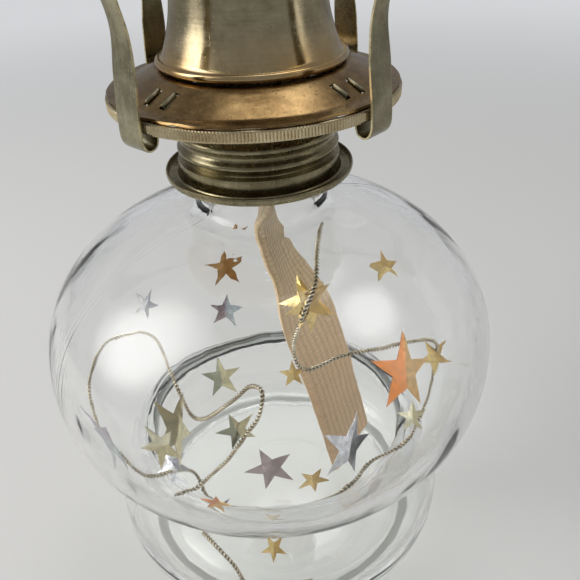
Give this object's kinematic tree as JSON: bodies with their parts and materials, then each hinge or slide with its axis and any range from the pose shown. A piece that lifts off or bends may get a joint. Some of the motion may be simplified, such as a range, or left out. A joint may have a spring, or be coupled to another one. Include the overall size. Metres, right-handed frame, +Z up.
{
  "type": "glass oil lamp",
  "caption": "Clear glass oil lamp: a globe on a hollow foot, a screw-in flat-wick burner with a dome, chimney springs and wick knob, and a wire garland of foil stars inside the font.",
  "frame": {"origin": "centre of the foot, on the table", "axes": "+Z up along the lamp axis, -Y towards the viewer of the picture, +X to the right; the wick raiser leaves the burner at the back, 10 degrees past +Y"},
  "size_m": [0.1106, 0.1112, 0.1639],
  "materials": {
    "glass": "clear pressed and blown glass, slightly wavy",
    "collar_brass": "dull, patinated",
    "burner_brass": "satin, aged",
    "gallery_brass": "satin, mottled brown",
    "dome_brass": "brushed satin",
    "spring_brass": "satin, greenish",
    "garland_metal": "bright twisted foil strands",
    "wick_cotton": "flat woven cotton tape",
    "cement": "matt plaster cement",
    "foil_gold": "gold foil, creased",
    "foil_orange": "orange-gold foil, creased",
    "foil_silver": "silver foil, creased",
    "foil_olive": "olive-gold foil, creased",
    "foil_lilac": "lilac foil, creased"
  },
  "bodies": {
    "lamp": {"glass_font": "glass", "collar": "collar_brass", "collar_cement": "cement", "garland_wire": "garland_metal", "garland_wire_foot": "garland_metal", "star_mid_small": "foil_gold", "star_right_large": "foil_orange", "star_right_gold": "foil_gold", "star_right_cream": "foil_gold", "star_front_large": "foil_silver", "star_left_tall": "foil_olive", "star_left_olive": "foil_olive", "star_middle_olive": "foil_olive", "star_low_white": "foil_silver", "star_end_white": "foil_silver", "star_neck_gold": "foil_gold", "star_wall_mauve": "foil_lilac", "star_wall_small_gold": "foil_gold", "star_wall_orange": "foil_orange", "star_wall_lilac": "foil_lilac", "star_wall_yellow": "foil_gold", "star_foot_gold": "foil_gold", "star_back_pale": "foil_lilac", "star_back_bronze": "foil_gold", "star_back_white": "foil_silver", "star_back_gold": "foil_gold"},
    "burner": {"burner_base": "burner_brass", "air_basket": "burner_brass", "gallery_plate": "gallery_brass", "knurled_ring": "burner_brass", "burner_dome": "dome_brass", "wick_tube": "burner_brass", "raiser_bearing": "burner_brass", "shaft_sleeve": "burner_brass"},
    "raiser": {"raiser_shaft": "burner_brass", "wick_wheel_front": "collar_brass", "wick_wheel_rear": "collar_brass", "raiser_knob": "burner_brass"},
    "wick": {"wick": "wick_cotton"},
    "spring_1": {"chimney_spring_1": "spring_brass"},
    "spring_2": {"chimney_spring_2": "spring_brass"},
    "spring_3": {"chimney_spring_3": "spring_brass"},
    "spring_4": {"chimney_spring_4": "spring_brass"}
  },
  "joints": [
    {"name": "burner_turn", "type": "hinge", "parent": "lamp", "child": "burner", "pos_m": [0, 0, 0.12], "axis": [0, 0, 1], "range_deg": [0, 540]},
    {"name": "wick_knob", "type": "hinge", "parent": "burner", "child": "raiser", "pos_m": [0.00502, 0.00089, 0.12274], "axis": [-0.1736, 0.9848, 0], "range_deg": [-48, 144]},
    {"name": "wick_lift", "type": "slide", "parent": "burner", "child": "wick", "axis": [0, 0, 1], "range_m": [-0.003, 0.009]},
    {"name": "spring_1_flex", "type": "hinge", "parent": "burner", "child": "spring_1", "pos_m": [0.01725, 0.01725, 0.1294], "axis": [-0.7071, 0.7071, 0], "range_deg": [0, 3.5], "stiffness_Nm_per_rad": 0.4},
    {"name": "spring_2_flex", "type": "hinge", "parent": "burner", "child": "spring_2", "pos_m": [-0.01725, 0.01725, 0.1294], "axis": [-0.7071, -0.7071, 0], "range_deg": [0, 3.5], "stiffness_Nm_per_rad": 0.4},
    {"name": "spring_3_flex", "type": "hinge", "parent": "burner", "child": "spring_3", "pos_m": [-0.01725, -0.01725, 0.1294], "axis": [0.7071, -0.7071, 0], "range_deg": [0, 3.5], "stiffness_Nm_per_rad": 0.4},
    {"name": "spring_4_flex", "type": "hinge", "parent": "burner", "child": "spring_4", "pos_m": [0.01725, -0.01725, 0.1294], "axis": [0.7071, 0.7071, 0], "range_deg": [0, 3.5], "stiffness_Nm_per_rad": 0.4}
  ],
  "couplings": [
    {"joint": "wick_knob", "follows": "wick_lift", "rad_per_m": 277.78}
  ]
}
